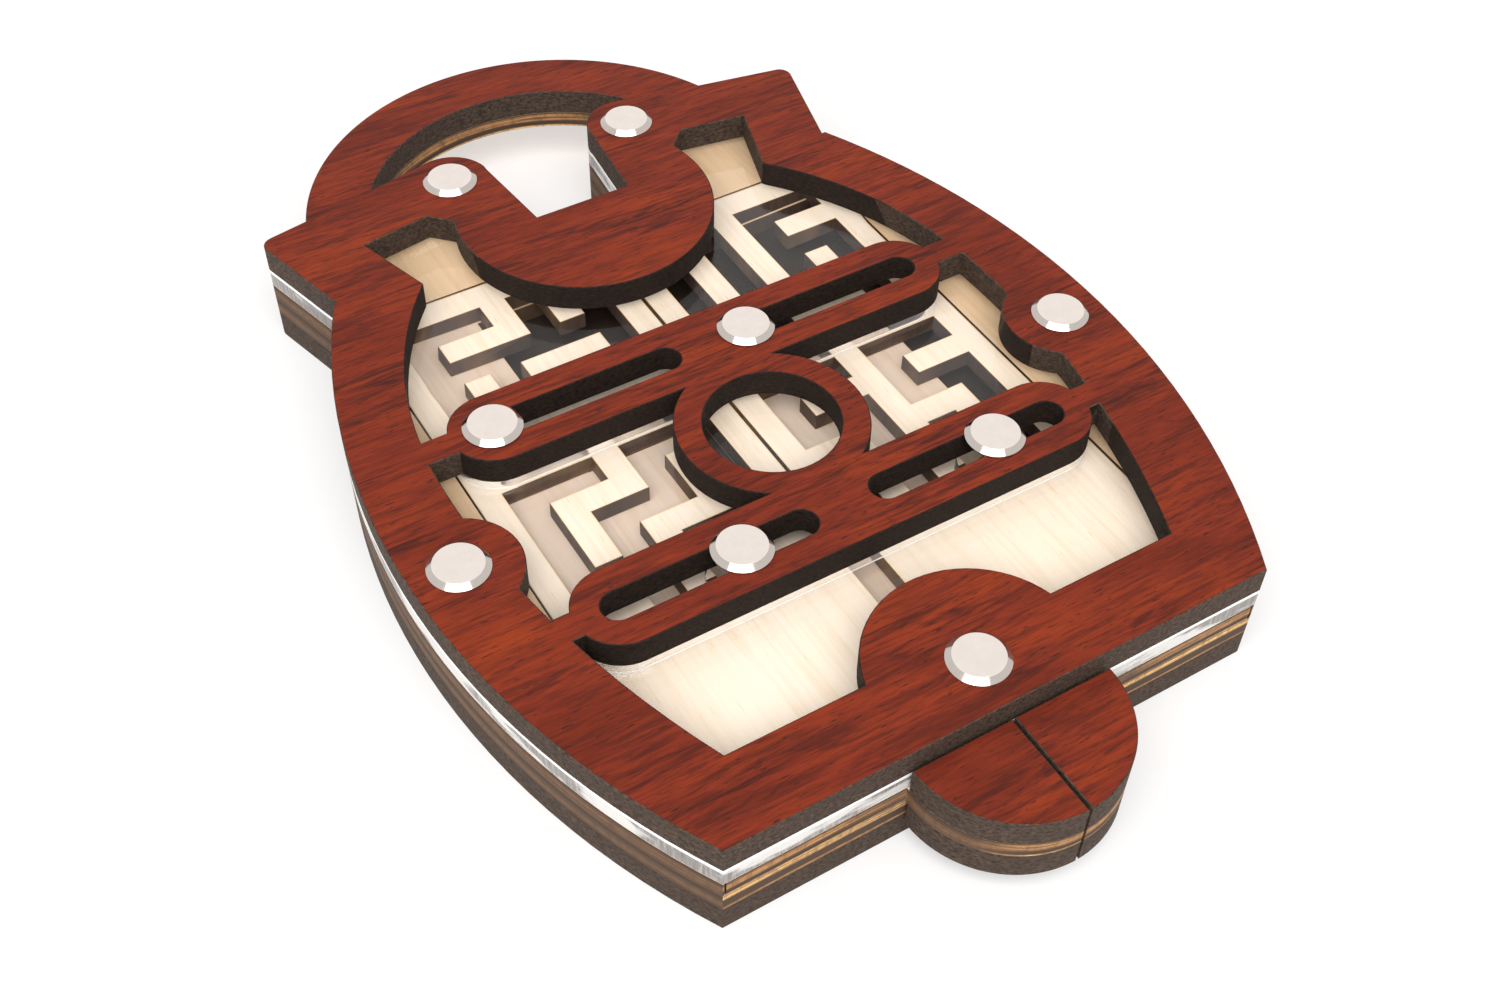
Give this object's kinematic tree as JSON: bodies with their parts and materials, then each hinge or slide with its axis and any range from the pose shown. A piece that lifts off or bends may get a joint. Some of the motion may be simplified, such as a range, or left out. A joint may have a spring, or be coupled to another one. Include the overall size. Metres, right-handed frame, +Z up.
{
  "type": "puzzle_box",
  "caption": "Flat padlock-shaped sliding puzzle box of layered wood sheets with clear windows, maze plates with half-round grips, slot pins and a loose shackle",
  "frame": {"origin": "centre of the round window, on the underside that the body rests on", "axes": "+Y toward the shackle, +Z up out of the windowed face, +X to the right seen from above"},
  "size_m": [0.1138, 0.1776, 0.0189],
  "materials": {
    "veneer": "matt reddish brown streaked veneer on dark board",
    "dark_board": "dark brown fibreboard",
    "birch": "pale birch plywood with scorched edges",
    "clear_sheet": "clear acrylic sheet",
    "nickel": "polished nickel"
  },
  "bodies": {
    "case": {"base_board": "dark_board", "floor_sheet": "birch", "frame_left": "birch", "frame_right": "birch", "lug_block": "birch", "window_sheet": "clear_sheet", "top_board": "veneer", "rivets": "nickel", "rivet_backs": "nickel"},
    "plate_left": {"plate_left": "birch", "grip_top_left": "veneer", "grip_back_left": "dark_board"},
    "plate_right": {"plate_right": "birch", "grip_top_right": "veneer", "grip_back_right": "dark_board"},
    "shackle": {"shackle_core": "birch", "shackle_board": "veneer"},
    "slider_upper_left": {"pin_upper_left": "nickel", "foot_upper_left": "clear_sheet"},
    "slider_upper_right": {"pin_upper_right": "nickel", "foot_upper_right": "clear_sheet"},
    "slider_lower_left": {"pin_lower_left": "nickel", "foot_lower_left": "clear_sheet"},
    "slider_lower_right": {"pin_lower_right": "nickel", "foot_lower_right": "clear_sheet"}
  },
  "joints": [
    {"name": "draw_left", "type": "slide", "parent": "case", "child": "plate_left", "axis": [0, -1, 0], "range_m": [0, 0.00935]},
    {"name": "draw_right", "type": "slide", "parent": "case", "child": "plate_right", "axis": [0, -1, 0], "range_m": [0, 0.00935]},
    {"name": "shackle_play", "type": "slide", "parent": "case", "child": "shackle", "axis": [1, 0, 0], "range_m": [0, 0.004]},
    {"name": "slide_upper_left", "type": "slide", "parent": "case", "child": "slider_upper_left", "axis": [1, 0, 0], "range_m": [-0.0006, 0.0284]},
    {"name": "slide_upper_right", "type": "slide", "parent": "case", "child": "slider_upper_right", "axis": [1, 0, 0], "range_m": [-0.00059, 0.0284]},
    {"name": "slide_lower_left", "type": "slide", "parent": "case", "child": "slider_lower_left", "axis": [1, 0, 0], "range_m": [-0.01913, 0.00986]},
    {"name": "slide_lower_right", "type": "slide", "parent": "case", "child": "slider_lower_right", "axis": [1, 0, 0], "range_m": [-0.01913, 0.00986]}
  ]
}
